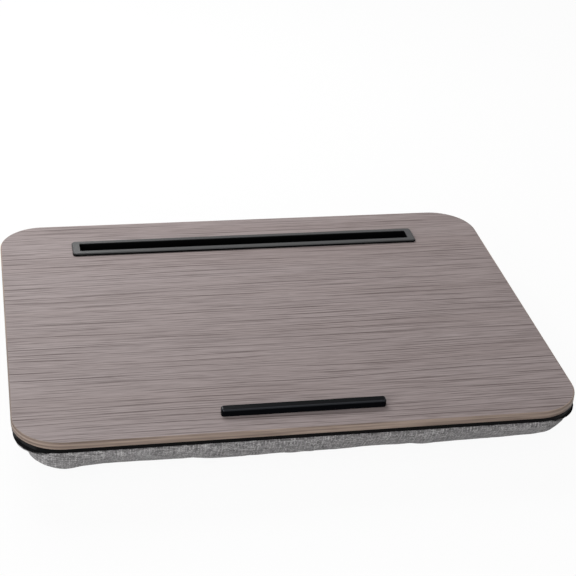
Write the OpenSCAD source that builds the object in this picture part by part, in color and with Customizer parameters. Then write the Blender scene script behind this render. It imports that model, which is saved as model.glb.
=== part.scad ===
// Lap desk with a lift lid: a wood-grain board hinged over a moulded storage tray,
// which sits in a fabric cushion. Units are millimetres, +Z is up, +X is to the right
// of the person at the desk and +Y points away from them. The origin is the centre of
// the face that the cushion rests on.

/* [Board] */
// Width of the board, edge band included
board_w = 440; // [410:5:500]
// Depth of the board from its front edge to its rear edge
board_d = 346; // [320:2:400]
// Radius of the board's corners, seen from above
corner_r = 38; // [28:1:46]
// Thickness of the fibreboard core
core_t = 4.9; // [4.5:0.1:8]
// Thickness of the wood-grain laminate
laminate_t = 0.7; // [0.5:0.1:1.2]
// Thickness of the black backing sheet
backing_t = 0.4; // [0.3:0.1:0.6]
// Thickness of the edge band
band_t = 1; // [0.8:0.1:1.2]
// Chamfer on the edge band's two corners
band_chamfer = 0.5; // [0.2:0.1:0.6]

/* [Tablet slot] */
// Length of the slot inside
slot_l = 301; // [240:1:310]
// Width of the slot inside, front to rear
slot_w = 14; // [10:0.5:17]
// Depth of the slot below the top of its rim
slot_depth = 11; // [10:0.5:13]
// Distance from the board's rear edge to the middle of the slot
slot_setback = 47.5; // [46:0.5:56]
// Height of the slot's rim above the board
slot_rim_h = 2.5; // [1.5:0.1:4]
// Width of the rim along the slot's long sides
slot_rim_side = 5; // [4:0.5:8]
// Width of the rim at the slot's ends
slot_rim_end = 6.5; // [4:0.5:10]
// Radius of the rim's corners
slot_rim_r = 3; // [2.5:0.1:3.8]
// Chamfer round the top of the rim
slot_rim_chamfer = 0.8; // [0.4:0.1:1.2]
// Wall of the slot insert
insert_wall = 1.5; // [1.2:0.1:2]
// Radius of the insert's corners below its rim
insert_r = 2; // [1.5:0.1:2.5]
// Number of snap catches on each long side of the insert
catch_count = 5; // [3:1:7]
// Length of each snap catch
catch_l = 14; // [8:1:20]
// Reach of each snap catch past the edge of the board's cut-out
catch_reach = 0.8; // [0.5:0.1:1.2]
// Height of each snap catch
catch_h = 2.4; // [1.8:0.1:3]

/* [Stop bar] */
// Length of the stop bar
bar_l = 128; // [110:1:180]
// Depth of the stop bar, front to rear
bar_d = 7.5; // [7:0.5:11]
// Height of the stop bar above the board
bar_h = 6; // [5.5:0.5:9]
// Radius of the stop bar's corners, seen from above
bar_end_r = 2.5; // [2:0.1:3.4]
// Radius of the stop bar's rounded top edges
bar_round = 1.6; // [1:0.1:2]
// Distance from the board's front edge to the bar's front face
bar_setback = 21; // [18:0.5:30]
// Distance between the bar's two screws
bar_screw_spacing = 90; // [60:1:95]
// Shank diameter of the bar's screws
bar_screw_d = 3; // [2.5:0.1:3.2]
// Head diameter of the bar's screws
bar_screw_head_d = 5.6; // [5:0.1:6.4]
// Length of the bar's screws in the bar itself
bar_screw_bite = 3.5; // [3:0.5:4]

/* [Storage tray] */
// Thickness of the tray's rim
tray_rim_t = 2.7; // [2.4:0.1:4]
// Distance that the tray's rim stays inside the board's front and side edges
tray_inset = 0.5; // [0.4:0.1:1.5]
// Gap between the closed lid and the tray's rim
lid_gap = 0.5; // [0.4:0.1:0.8]
// Depth of the well below the rim's top
well_depth = 18; // [15:0.5:24]
// Wall and floor thickness of the well
well_wall = 1.8; // [1.4:0.1:2.4]
// Distance from the board's side edges to the well's mouth
well_side_margin = 32; // [28:1:45]
// Distance from the board's front edge to the well's mouth
well_front_margin = 36; // [30:1:50]
// Distance from the board's rear edge to the well's mouth
well_rear_margin = 30; // [28:1:33]
// Radius of the well's corners at its mouth
well_r = 22; // [18:1:30]
// Amount that each well wall leans in from mouth to floor
well_lean = 2.5; // [1:0.5:5]
// Radius between the well's walls and its floor
well_floor_r = 5; // [3:0.5:8]

/* [Lid bumpers] */
// Diameter of the bumpers that the closed lid rests on
bumper_d = 8; // [6:0.5:10]
// Depth of the recess that holds each bumper in the tray's rim
bumper_recess = 0.9; // [0.6:0.1:1.2]
// Distance from the board's side edges to the bumpers' centres
bumper_side = 17; // [15:0.5:19]
// Distance from the board's front edge to the front bumpers' centres
bumper_front = 18; // [16:0.5:20]
// Distance from the board's rear edge to the rear bumpers' centres
bumper_rear = 24; // [20:0.5:28]

/* [Hinges] */
// Distance from the board's rear edge to the pins' axis
axis_setback = 3.2; // [3:0.1:4]
// Distance that the tray's rear edge stays in front of the pins' axis
rim_rear_gap = 0.8; // [0.6:0.1:1.2]
// Distance from the middle of the board to each hinge's middle
hinge_x = 100; // [60:1:130]
// Length of each hinge
hinge_l = 50; // [40:1:60]
// Number of knuckles on each hinge
knuckle_count = 5; // [3:2:7]
// Outer diameter of the knuckles
knuckle_d = 4; // [3.8:0.1:4.4]
// Diameter of the hinge pins
pin_d = 2; // [1.6:0.1:2.2]
// Diameter of the peened heads at the ends of the pins
pin_head_d = 3.2; // [2.8:0.1:3.6]
// Height of the peened heads
pin_head_h = 0.6; // [0.4:0.1:0.8]
// Thickness of the hinge leaves
leaf_t = 1; // [0.8:0.1:1.1]
// Reach of each leaf from the pin's axis
leaf_reach = 16; // [14:0.5:18]
// Shank diameter of the hinge screws
hinge_screw_d = 2.2; // [1.8:0.1:2.4]
// Head diameter of the hinge screws
hinge_screw_head_d = 3.8; // [3.2:0.1:3.8]
// Length of the screws in the lid, heads included
lid_screw_l = 4.4; // [3:0.2:4.4]
// Length of the screws in the tray, heads included
tray_screw_l = 4.5; // [3.5:0.5:4.5]
// Distance that the pad under each hinge reaches past the leaf's ends
pad_end = 2; // [1:0.5:4]
// Distance that the pad under each hinge reaches past the leaf's front edge
pad_reach = 0.6; // [0.2:0.1:2]
// Distance that the pad stays in front of the top panel's rear edge
pad_rear_gap = 1.4; // [1:0.1:3]

/* [Cushion] */
// Height of the cushion below its black top panel
cushion_h = 36; // [34:1:60]
// Thickness of the padded black top panel
panel_t = 2.8; // [2.6:0.1:4]
// Distance that the top panel stays inside the board's front and side edges
panel_inset = 3.6; // [3.5:0.1:5]
// Distance that the top panel's rear edge stays in front of the pins' axis
panel_rear_gap = 1.6; // [1.4:0.1:2.4]
// Thickness of the grey fabric cover
cover_t = 1.5; // [1:0.1:2]
// Distance that the cover stays inside the board's front and rear edges
cover_inset_front = 1; // [0.8:0.1:1.4]
// Distance that the cover stays inside the board's side edges
cover_inset_side = 2.6; // [2:0.1:2.7]
// Amount that the front and rear faces draw in towards the bottom
draw_front = 44; // [30:1:66]
// Amount that the side faces draw in towards the bottom
draw_side = 26; // [18:1:50]
// Roundness of the cover's profile, where 2 is an ellipse
draw_power = 1.35; // [1.2:0.05:2.2]
// Amount that the cushion's corner radius is less than the board's, at its top
corner_tight = 6; // [2:0.5:8]
// Amount that the cushion's corner radius shrinks from its top to its bottom
corner_shrink = 15; // [0:1:17]
// Fullness of the cushion's corners
corner_full = 1.5; // [0:0.5:3]
// Amount that the sides pull in between the corners
side_pull = 0.5; // [0:0.5:2]

/* [Fits] */
// Gap between a piece and the recess or cut-out that it sits in
fit_gap = 0.3; // [0.2:0.05:0.4]
// Radial gap round a pin or a screw shank
pin_gap = 0.05; // [0.03:0.01:0.08]
// Gap between neighbouring knuckles
knuckle_gap = 0.3; // [0.2:0.05:0.5]

/* [Hidden] */
$fn = 64;
overcut = 1;

// Heights of the layers, from the floor up
panel_z = cushion_h;
tray_under_z = panel_z + panel_t;
tray_top_z = tray_under_z + tray_rim_t;
board_under_z = tray_top_z + lid_gap;
core_z = board_under_z + backing_t;
laminate_z = core_z + core_t;
board_top_z = laminate_z + laminate_t;
board_t = board_top_z - board_under_z;

// Edges and half sizes of the board
half_w = board_w / 2;
half_d = board_d / 2;
core_w = board_w - 2 * band_t;
core_d = board_d - 2 * band_t;
core_r = corner_r - band_t;

// Tablet slot and its insert
slot_y = half_d - slot_setback;
trough_l = slot_l + 2 * insert_wall;
trough_w = slot_w + 2 * insert_wall;
slot_floor_z = board_top_z + slot_rim_h - slot_depth;
trough_base_z = slot_floor_z - insert_wall;
catch_pitch = slot_l / catch_count;

// Stop bar and its screws
bar_y = -half_d + bar_setback + bar_d / 2;
bar_screw_head_h = (bar_screw_head_d - bar_screw_d) / 2;

// Hinges
axis_y = half_d - axis_setback;
axis_z = (tray_top_z + board_under_z) / 2;
knuckle_r = knuckle_d / 2;
knuckle_pitch = hinge_l / knuckle_count;
barrel_room_r = knuckle_r + fit_gap;
leaf_edge = axis_y - leaf_reach;
hinge_screw_y = axis_y - (leaf_reach + barrel_room_r) / 2;
hinge_screw_x = hinge_l / 3;

// Rim of the tray and the top panel under it
rim_front_y = -half_d + tray_inset;
rim_rear_y = axis_y - rim_rear_gap;
panel_hx = half_w - panel_inset;
panel_r = corner_r - corner_tight - panel_inset + cover_inset_front;
panel_front_y = -half_d + panel_inset;
panel_rear_y = axis_y - panel_rear_gap;
panel_hy = (panel_rear_y - panel_front_y) / 2;
panel_y = (panel_rear_y + panel_front_y) / 2;

// Well of the tray
well_w = board_w - 2 * well_side_margin;
well_d = board_d - well_front_margin - well_rear_margin;
well_y = (well_front_margin - well_rear_margin) / 2;
well_base_z = tray_top_z - well_depth - well_wall;
well_grow = well_wall + fit_gap;

// Thick pads under the rim that take the hinge screws
pad_l = hinge_l + 2 * pad_end;
pad_rear = panel_rear_y - pad_rear_gap;
pad_front = leaf_edge - pad_reach;

// Cushion surfaces
cover_hx = half_w - cover_inset_side;
cover_hy = half_d - cover_inset_front;
cover_r = corner_r - corner_tight;
filling_inset = cover_t + fit_gap;
ring_arc_steps = 8;
ring_side_steps = 6;
outer_levels = 9;
inner_levels = 6;
lip_from = 0.8;
lip_low = 0.3;
lip_high = panel_t - 0.2;

// Rounded rectangle centred on the origin
module rounded_rect(w, d, r) {
    square([w - 2 * r, d], center = true);
    square([w, d - 2 * r], center = true);
    for (sx = [-1, 1], sy = [-1, 1])
        translate([sx * (w / 2 - r), sy * (d / 2 - r)]) circle(r);
}

// Plate with rounded corners that stands on z = 0
module rounded_plate(w, d, h, r) {
    linear_extrude(h) rounded_rect(w, d, r);
}

// Profile, drawn from x = 0 outwards, carried round a rounded rectangle
module sweep_outline(w, d, r) {
    for (side = [0, 1]) rotate(180 * side) {
        translate([w / 2, d / 2 - r, 0]) rotate([90, 0, 0])
            linear_extrude(d - 2 * r) children();
        translate([-w / 2 + r, d / 2, 0]) rotate([90, 0, 90])
            linear_extrude(w - 2 * r) children();
        translate([w / 2 - r, d / 2 - r, 0])
            rotate_extrude(angle = 90) translate([r, 0]) children();
        translate([-w / 2 + r, d / 2 - r, 0]) rotate(90)
            rotate_extrude(angle = 90) translate([r, 0]) children();
    }
}

// Plate whose edge has the given profile, which is r wide and h high
module profiled_plate(w, d, h, r) {
    linear_extrude(h) square([w - 2 * r, d - 2 * r], center = true);
    sweep_outline(w - 2 * r, d - 2 * r, 0) children();
}

// Countersunk screw that points down from z = 0
module countersunk_screw(d, head_d, l) {
    head_h = (head_d - d) / 2;
    translate([0, 0, -head_h]) cylinder(d1 = d, d2 = head_d, h = head_h);
    translate([0, 0, -l]) cylinder(d = d, h = l - head_h);
}

// Space round one hinge barrel and its pin's heads, along the whole hinge
module barrel_room(x) {
    translate([x, axis_y, axis_z]) rotate([0, 90, 0])
        cylinder(r = barrel_room_r, h = hinge_l + 2 * (pin_head_h + fit_gap), center = true);
}

// Recess for one leaf, between two heights
module leaf_recess(x, low, high) {
    translate([x - hinge_l / 2 - fit_gap, leaf_edge - fit_gap, low])
        cube([hinge_l + 2 * fit_gap, leaf_reach + fit_gap, high - low]);
}

// Places its children at each screw of each hinge
module at_hinge_screws() {
    for (side = [-1, 1], end = [-1, 1])
        translate([side * hinge_x + end * hinge_screw_x, hinge_screw_y, 0]) children();
}

// Places its children at the bar's two screws
module at_bar_screws() {
    for (side = [-1, 1]) translate([side * bar_screw_spacing / 2, bar_y, 0]) children();
}

// Places its children at the four bumpers
module at_bumpers() {
    for (side = [-1, 1], y = [-half_d + bumper_front, half_d - bumper_rear])
        translate([side * (half_w - bumper_side), y, 0]) children();
}

// Everything that is cut out of the board from below or through it
module board_cuts() {
    translate([0, slot_y, board_under_z - overcut])
        rounded_plate(trough_l + 2 * fit_gap, trough_w + 2 * fit_gap, board_t + 2 * overcut,
            insert_r + fit_gap);
    for (side = [-1, 1]) {
        barrel_room(side * hinge_x);
        leaf_recess(side * hinge_x, board_under_z - overcut, board_under_z + leaf_t);
    }
    at_hinge_screws() translate([0, 0, board_under_z])
        cylinder(d = hinge_screw_d + 2 * pin_gap, h = lid_screw_l + fit_gap);
    at_bar_screws() translate([0, 0, board_under_z]) {
        cylinder(d1 = bar_screw_head_d + 2 * pin_gap, d2 = bar_screw_d + 2 * pin_gap,
            h = bar_screw_head_h);
        cylinder(d = bar_screw_d + 2 * pin_gap, h = board_t + overcut);
    }
}

module board_core() {
    color("tan") difference() {
        translate([0, 0, core_z]) rounded_plate(core_w, core_d, core_t, core_r);
        board_cuts();
    }
}

module top_laminate() {
    color([0.56, 0.51, 0.5]) difference() {
        translate([0, 0, laminate_z]) rounded_plate(core_w, core_d, laminate_t, core_r);
        board_cuts();
    }
}

module backing_sheet() {
    color([0.1, 0.1, 0.1]) difference() {
        translate([0, 0, board_under_z]) rounded_plate(core_w, core_d, backing_t, core_r);
        board_cuts();
    }
}

module edge_band() {
    color([0.47, 0.41, 0.38]) difference() {
        translate([0, 0, board_under_z]) sweep_outline(core_w, core_d, core_r)
            polygon([[0, 0], [band_t - band_chamfer, 0], [band_t, band_chamfer],
                [band_t, board_t - band_chamfer], [band_t - band_chamfer, board_t], [0, board_t]]);
        for (side = [-1, 1]) barrel_room(side * hinge_x);
    }
}

// One snap catch that hooks under the board, on the side that faces +Y
module snap_catch() {
    translate([-catch_l / 2, trough_w / 2, board_under_z - fit_gap]) rotate([90, 0, 90])
        linear_extrude(catch_l)
            polygon([[-insert_wall / 2, 0], [fit_gap + catch_reach, 0],
                [fit_gap + catch_reach, -catch_h / 4], [0, -catch_h], [-insert_wall / 2, -catch_h]]);
}

module slot_insert() {
    rim_l = slot_l + 2 * slot_rim_end;
    rim_w = slot_w + 2 * slot_rim_side;
    color([0.09, 0.09, 0.09]) translate([0, slot_y, 0]) difference() {
        union() {
            translate([0, 0, board_top_z]) profiled_plate(rim_l, rim_w, slot_rim_h, slot_rim_r)
                polygon([[0, 0], [slot_rim_r, 0], [slot_rim_r, slot_rim_h - slot_rim_chamfer],
                    [slot_rim_r - slot_rim_chamfer, slot_rim_h], [0, slot_rim_h]]);
            translate([0, 0, trough_base_z])
                rounded_plate(trough_l, trough_w, board_top_z - trough_base_z, insert_r);
            for (side = [0, 1], n = [0 : catch_count - 1]) rotate(180 * side)
                translate([(n - (catch_count - 1) / 2) * catch_pitch, 0, 0]) snap_catch();
        }
        translate([0, 0, slot_floor_z])
            rounded_plate(slot_l, slot_w, slot_depth + overcut, insert_r - insert_wall / 2);
    }
}

// Stop bar, rounded along its top edges and at its corners
module stop_bar() {
    flat_r = bar_end_r - bar_round;
    color([0.07, 0.07, 0.08]) translate([0, bar_y, board_top_z]) difference() {
        profiled_plate(bar_l, bar_d, bar_h, bar_end_r) {
            square([bar_end_r, bar_h - bar_round]);
            square([flat_r, bar_h]);
            intersection() {
                translate([flat_r, bar_h - bar_round]) circle(bar_round);
                square([bar_end_r, bar_h]);
            }
        }
        for (side = [-1, 1]) translate([side * bar_screw_spacing / 2, 0, -overcut])
            cylinder(d = bar_screw_d + 2 * pin_gap, h = bar_screw_bite + fit_gap + overcut);
    }
}

module stop_bar_screws() {
    color("dimgray") at_bar_screws() translate([0, 0, board_under_z]) mirror([0, 0, 1])
        countersunk_screw(bar_screw_d, bar_screw_head_d, board_t + bar_screw_bite);
}

// Barrel and plate of one leaf, along X with the pin's axis at the origin. It takes
// every second knuckle from the given one, and its plate starts at the given height.
module leaf(first, low) {
    difference() {
        union() {
            for (n = [first : 2 : knuckle_count - 1])
                translate([n * knuckle_pitch - (hinge_l - knuckle_gap) / 2, 0, 0]) {
                    rotate([0, 90, 0]) cylinder(r = knuckle_r, h = knuckle_pitch - knuckle_gap);
                    translate([0, -leaf_reach, low])
                        cube([knuckle_pitch - knuckle_gap, leaf_reach, leaf_t]);
                }
            translate([-hinge_l / 2, -leaf_reach, low])
                cube([hinge_l, leaf_reach - barrel_room_r, leaf_t]);
        }
        translate([-hinge_l / 2 - overcut, 0, 0]) rotate([0, 90, 0])
            cylinder(d = pin_d + 2 * pin_gap, h = hinge_l + 2 * overcut);
    }
}

// Countersunk holes through a leaf that lies flush with the z = 0 plane
module leaf_holes() {
    at_hinge_screws() {
        translate([0, 0, -leaf_t - overcut])
            cylinder(d = hinge_screw_d + 2 * pin_gap, h = leaf_t + 2 * overcut);
        translate([0, 0, -(hinge_screw_head_d - hinge_screw_d) / 2])
            cylinder(d1 = hinge_screw_d + 2 * pin_gap, d2 = hinge_screw_head_d + 2 * pin_gap,
                h = (hinge_screw_head_d - hinge_screw_d) / 2);
    }
}

// Leaf of the lid, let into the board's underside
module lid_leaf(side) {
    color("silver") difference() {
        translate([side * hinge_x, axis_y, axis_z]) leaf(1, lid_gap / 2);
        translate([0, 0, board_under_z]) mirror([0, 0, 1]) leaf_holes();
    }
}

// Leaf of the tray, let into the top of its rim
module tray_leaf(side) {
    color("silver") difference() {
        translate([side * hinge_x, axis_y, axis_z]) leaf(0, -lid_gap / 2 - leaf_t);
        translate([0, 0, tray_top_z]) leaf_holes();
    }
}

module lid_leaf_screws() {
    color("silver") at_hinge_screws() translate([0, 0, board_under_z]) mirror([0, 0, 1])
        countersunk_screw(hinge_screw_d, hinge_screw_head_d, lid_screw_l);
}

module tray_leaf_screws() {
    color("silver") at_hinge_screws() translate([0, 0, tray_top_z])
        countersunk_screw(hinge_screw_d, hinge_screw_head_d, tray_screw_l);
}

// Hinge pin with a peened head at each end
module hinge_pin(side) {
    color("gray") translate([side * hinge_x, axis_y, axis_z]) rotate([0, 90, 0]) {
        cylinder(d = pin_d, h = hinge_l, center = true);
        for (end = [0, 1]) rotate([180 * end, 0, 0]) translate([0, 0, hinge_l / 2])
            cylinder(d1 = pin_head_d, d2 = pin_d, h = pin_head_h);
    }
}

// Bowl with leaning walls and a rounded floor edge, from a base height up to the given
// height. The mouth is at mouth_z, and grow is added on every side.
module bowl(grow, base_z, top_z) {
    r = well_r + grow;
    h = tray_top_z - base_z;
    lean_angle = atan(well_lean / h);
    floor_r = well_floor_r + grow;
    corner_x = r - well_lean;
    tangent = floor_r / tan(45 + lean_angle / 2);
    mid = corner_x - tangent;
    translate([0, well_y, base_z])
        profiled_plate(well_w + 2 * grow, well_d + 2 * grow, top_z - base_z, r) {
            difference() {
                polygon([[0, 0], [mid, 0], [mid, floor_r],
                    [corner_x + tangent * sin(lean_angle), tangent * cos(lean_angle)],
                    [r, h], [r, h + overcut], [0, h + overcut]]);
                translate([0, top_z - base_z]) square([2 * r, h]);
            }
            intersection() {
                translate([mid, floor_r]) circle(floor_r);
                square([2 * r, floor_r]);
            }
        }
}

// Thick pad under the rim that takes one hinge's screws
module hinge_pad(side, grow) {
    translate([side * hinge_x - pad_l / 2 - grow, pad_front - grow, panel_z - grow])
        cube([pad_l + 2 * grow, pad_rear - pad_front + 2 * grow, panel_t + 2 * grow]);
}

module storage_tray() {
    rim_d = rim_rear_y - rim_front_y;
    color([0.11, 0.11, 0.12]) difference() {
        union() {
            translate([0, (rim_rear_y + rim_front_y) / 2, tray_under_z])
                rounded_plate(board_w - 2 * tray_inset, rim_d, tray_rim_t, corner_r - tray_inset);
            bowl(well_wall, well_base_z, tray_under_z);
            for (side = [-1, 1]) hinge_pad(side, 0);
        }
        bowl(0, well_base_z + well_wall, tray_top_z + overcut);
        for (side = [-1, 1]) {
            barrel_room(side * hinge_x);
            leaf_recess(side * hinge_x, tray_top_z - leaf_t, tray_top_z + overcut);
        }
        at_bumpers() translate([0, 0, tray_top_z - bumper_recess])
            cylinder(d = bumper_d + 2 * fit_gap, h = bumper_recess + overcut);
        at_hinge_screws() translate([0, 0, tray_top_z - tray_screw_l - fit_gap])
            cylinder(d = hinge_screw_d + 2 * pin_gap, h = tray_screw_l + fit_gap);
    }
}

// Bumpers that stand out of the rim by the lid's gap
module lid_bumpers() {
    color([0.15, 0.15, 0.15]) at_bumpers() translate([0, 0, tray_top_z - bumper_recess])
        cylinder(d = bumper_d, h = bumper_recess + lid_gap);
}

module cushion_top_panel() {
    color([0.08, 0.08, 0.08]) difference() {
        translate([0, panel_y, panel_z]) rounded_plate(2 * panel_hx, 2 * panel_hy, panel_t, panel_r);
        translate([0, well_y, panel_z - overcut])
            rounded_plate(well_w + 2 * well_grow, well_d + 2 * well_grow, panel_t + 2 * overcut,
                well_r + well_grow);
        for (side = [-1, 1]) hinge_pad(side, fit_gap);
    }
}

// Points of a rounded rectangle as [x, y, normal angle], with its straight sides divided.
// Full corners push out, and pulled sides push in.
function outline(hx, hy, r, full, pull) = [
    for (c = [0 : 3])
        let(cx = corner_sign_x(c) * (hx - r), cy = corner_sign_y(c) * (hy - r),
            nx = corner_sign_x(c + 1) * (hx - r), ny = corner_sign_y(c + 1) * (hy - r))
        each [
            for (j = [0 : ring_arc_steps])
                let(s = 90 * j / ring_arc_steps, a = 90 * c + s,
                    reach = r + full * pow(sin(2 * s), 2))
                [cx + reach * cos(a), cy + reach * sin(a), a],
            for (j = [1 : ring_side_steps - 1])
                let(t = j / ring_side_steps, a = 90 * (c + 1), reach = r - pull * 4 * t * (1 - t))
                [cx + (nx - cx) * t + reach * cos(a), cy + (ny - cy) * t + reach * sin(a), a]
        ]];

// Signs of the corners, counted from the rear right one and to the left
function corner_sign_x(c) = (c % 4 == 0 || c % 4 == 3) ? 1 : -1;
function corner_sign_y(c) = c % 4 < 2 ? 1 : -1;

// Share of the draw that the profile has reached at share v of the cushion's height
function drawn(v) = 1 - pow(1 - pow(min(v, 1), draw_power), 1 / draw_power);

// Share of the height at each level, closer together near the bottom
function level(k, count) = sin(90 * k / count);

// Ring of the cover's shape at share v of the given height, inset on every side
function ring(v, height, inset) =
    [for (p = outline(cover_hx - inset - draw_side * drawn(v), cover_hy - inset - draw_front * drawn(v),
        cover_r - inset - corner_shrink * drawn(v), corner_full * sin(180 * v), side_pull * sin(180 * v)))
        [p[0], p[1], panel_z - v * height]];

// Height of the cover's lip above its panel: high in front, low at the corners, sides and rear
function lip(a) = let(s = max(0, min(1, (-sin(a) - lip_from) / (1 - lip_from))))
    lip_low + (lip_high - lip_low) * s * s * (3 - 2 * s);

// Ring of the cover's lip
function lip_ring(hx, hy, r, y) = [for (p = outline(hx, hy, r, 0, 0)) [p[0], p[1] + y, panel_z + lip(p[2])]];

// Flat ring of a rounded rectangle
function flat_ring(hx, hy, r, y, z) = [for (p = outline(hx, hy, r, 0, 0)) [p[0], p[1] + y, z]];

// Closed surface through a list of rings, with a fan over the first and over the last
module ring_solid(rings, last_y) {
    n = len(rings[0]);
    last = len(rings) - 1;
    mid = n * (last + 1);
    points = concat([for (r = rings) each r], [[0, 0, rings[0][0][2]], [0, last_y, rings[last][0][2]]]);
    faces = concat(
        [for (k = [0 : last - 1], i = [0 : n - 1])
            [k * n + i, (k + 1) * n + i, (k + 1) * n + (i + 1) % n]],
        [for (k = [0 : last - 1], i = [0 : n - 1])
            [k * n + i, (k + 1) * n + (i + 1) % n, k * n + (i + 1) % n]],
        [for (i = [0 : n - 1]) [mid, i, (i + 1) % n]],
        [for (i = [0 : n - 1]) [mid + 1, last * n + (i + 1) % n, last * n + i]]);
    polyhedron(points, faces, convexity = 4);
}

module cushion_cover() {
    mouth_hx = panel_hx + fit_gap;
    mouth_hy = panel_hy + fit_gap;
    mouth_r = panel_r + fit_gap;
    color([0.5, 0.5, 0.51]) ring_solid(concat(
        [for (k = [outer_levels : -1 : 0]) ring(level(k, outer_levels), cushion_h, 0)],
        [lip_ring(cover_hx, cover_hy, cover_r, 0)],
        [lip_ring(mouth_hx, mouth_hy, mouth_r, panel_y)],
        [flat_ring(mouth_hx, mouth_hy, mouth_r, panel_y, panel_z)],
        [for (k = [1 : inner_levels]) ring(level(k, inner_levels), cushion_h - cover_t, cover_t)]), 0);
}

module cushion_filling() {
    pocket_hx = well_w / 2 + well_grow;
    pocket_hy = well_d / 2 + well_grow;
    pocket_r = well_r + well_grow;
    color([0.92, 0.91, 0.88]) ring_solid(concat(
        [for (k = [inner_levels : -1 : 1])
            ring(level(k, inner_levels), cushion_h - filling_inset, filling_inset)],
        [flat_ring(panel_hx, panel_hy, panel_r, panel_y, panel_z)],
        [flat_ring(pocket_hx, pocket_hy, pocket_r, well_y, panel_z)],
        [flat_ring(pocket_hx - well_lean, pocket_hy - well_lean, pocket_r - well_lean, well_y,
            well_base_z - fit_gap)]), well_y);
}

board_core();
top_laminate();
backing_sheet();
edge_band();
slot_insert();
stop_bar();
stop_bar_screws();
lid_leaf(-1);  // lid_leaf_left
lid_leaf(1);  // lid_leaf_right
lid_leaf_screws();
storage_tray();
lid_bumpers();
tray_leaf(-1);  // tray_leaf_left
tray_leaf(1);  // tray_leaf_right
tray_leaf_screws();
hinge_pin(-1);  // hinge_pin_left
hinge_pin(1);  // hinge_pin_right
cushion_top_panel();
cushion_cover();
cushion_filling();
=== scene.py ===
import math
import bmesh
import bpy
import numpy as np
from mathutils import Matrix, Vector, noise


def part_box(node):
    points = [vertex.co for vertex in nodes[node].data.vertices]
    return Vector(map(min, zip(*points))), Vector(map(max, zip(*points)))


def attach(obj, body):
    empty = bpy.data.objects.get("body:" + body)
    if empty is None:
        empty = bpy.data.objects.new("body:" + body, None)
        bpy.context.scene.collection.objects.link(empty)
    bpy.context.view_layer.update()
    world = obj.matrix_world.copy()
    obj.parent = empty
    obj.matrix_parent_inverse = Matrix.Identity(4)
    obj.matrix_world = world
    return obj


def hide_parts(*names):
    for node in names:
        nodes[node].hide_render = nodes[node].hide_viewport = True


# Lap desk with a lift lid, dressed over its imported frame. Metres, +Z up, +Y away from
# the person at the desk.

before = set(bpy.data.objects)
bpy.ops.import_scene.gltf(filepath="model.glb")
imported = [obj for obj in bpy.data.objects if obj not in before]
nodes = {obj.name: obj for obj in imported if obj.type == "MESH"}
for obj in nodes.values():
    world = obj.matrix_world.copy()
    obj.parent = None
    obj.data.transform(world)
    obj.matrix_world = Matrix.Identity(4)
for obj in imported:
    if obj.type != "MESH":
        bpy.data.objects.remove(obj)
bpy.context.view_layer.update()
scene = bpy.context.scene
boardLow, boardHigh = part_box("edge_band")
panelLow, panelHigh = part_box("cushion_top_panel")
coverLow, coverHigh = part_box("cushion_cover")
print("frame loaded")


class Wire:
    # An output socket on which the operators add Math nodes
    def __init__(self, graph, socket):
        self.graph = graph
        self.socket = socket

    def __add__(self, other):
        return self.graph.maths("ADD", self, other)

    def __sub__(self, other):
        return self.graph.maths("SUBTRACT", self, other)

    def __rsub__(self, other):
        return self.graph.maths("SUBTRACT", other, self)

    def __mul__(self, other):
        return self.graph.maths("MULTIPLY", self, other)

    def __truediv__(self, other):
        return self.graph.maths("DIVIDE", self, other)

    def __rtruediv__(self, other):
        return self.graph.maths("DIVIDE", other, self)

    def __abs__(self):
        return self.graph.maths("ABSOLUTE", self)

    __radd__ = __add__
    __rmul__ = __mul__


class Graph:
    # The nodes of one tree, each made by the node method
    def __init__(self, tree):
        self.tree = tree
        tree.nodes.clear()

    def node(self, kind, settings=None, inputs=None, output=0):
        made = self.tree.nodes.new(kind)
        for key, value in (settings or {}).items():
            if key == "stops":
                self.setStops(made.color_ramp, value)
            else:
                setattr(made, key, value)
        for key, value in (inputs or {}).items():
            self.feed(made.inputs[key], value)
        return Wire(self, made.outputs[output]) if len(made.outputs) else None

    def feed(self, socket, value):
        # A list holds several wires for one socket
        if isinstance(value, list):
            for wire in value:
                self.feed(socket, wire)
        elif isinstance(value, Wire):
            self.tree.links.new(value.socket, socket)
        else:
            socket.default_value = value

    def setStops(self, ramp, stops):
        while len(ramp.elements) < len(stops):
            ramp.elements.new(0.5)
        for element, (position, colour) in zip(ramp.elements, stops):
            element.position = position
            element.color = (*colour, 1)

    def maths(self, operation, *values):
        return self.node("ShaderNodeMath", {"operation": operation}, dict(enumerate(values)))


def opaque(colour):
    return colour if isinstance(colour, Wire) else (*colour, 1)


def scaled(colour, factor):
    return tuple(channel * factor for channel in colour)


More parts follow.
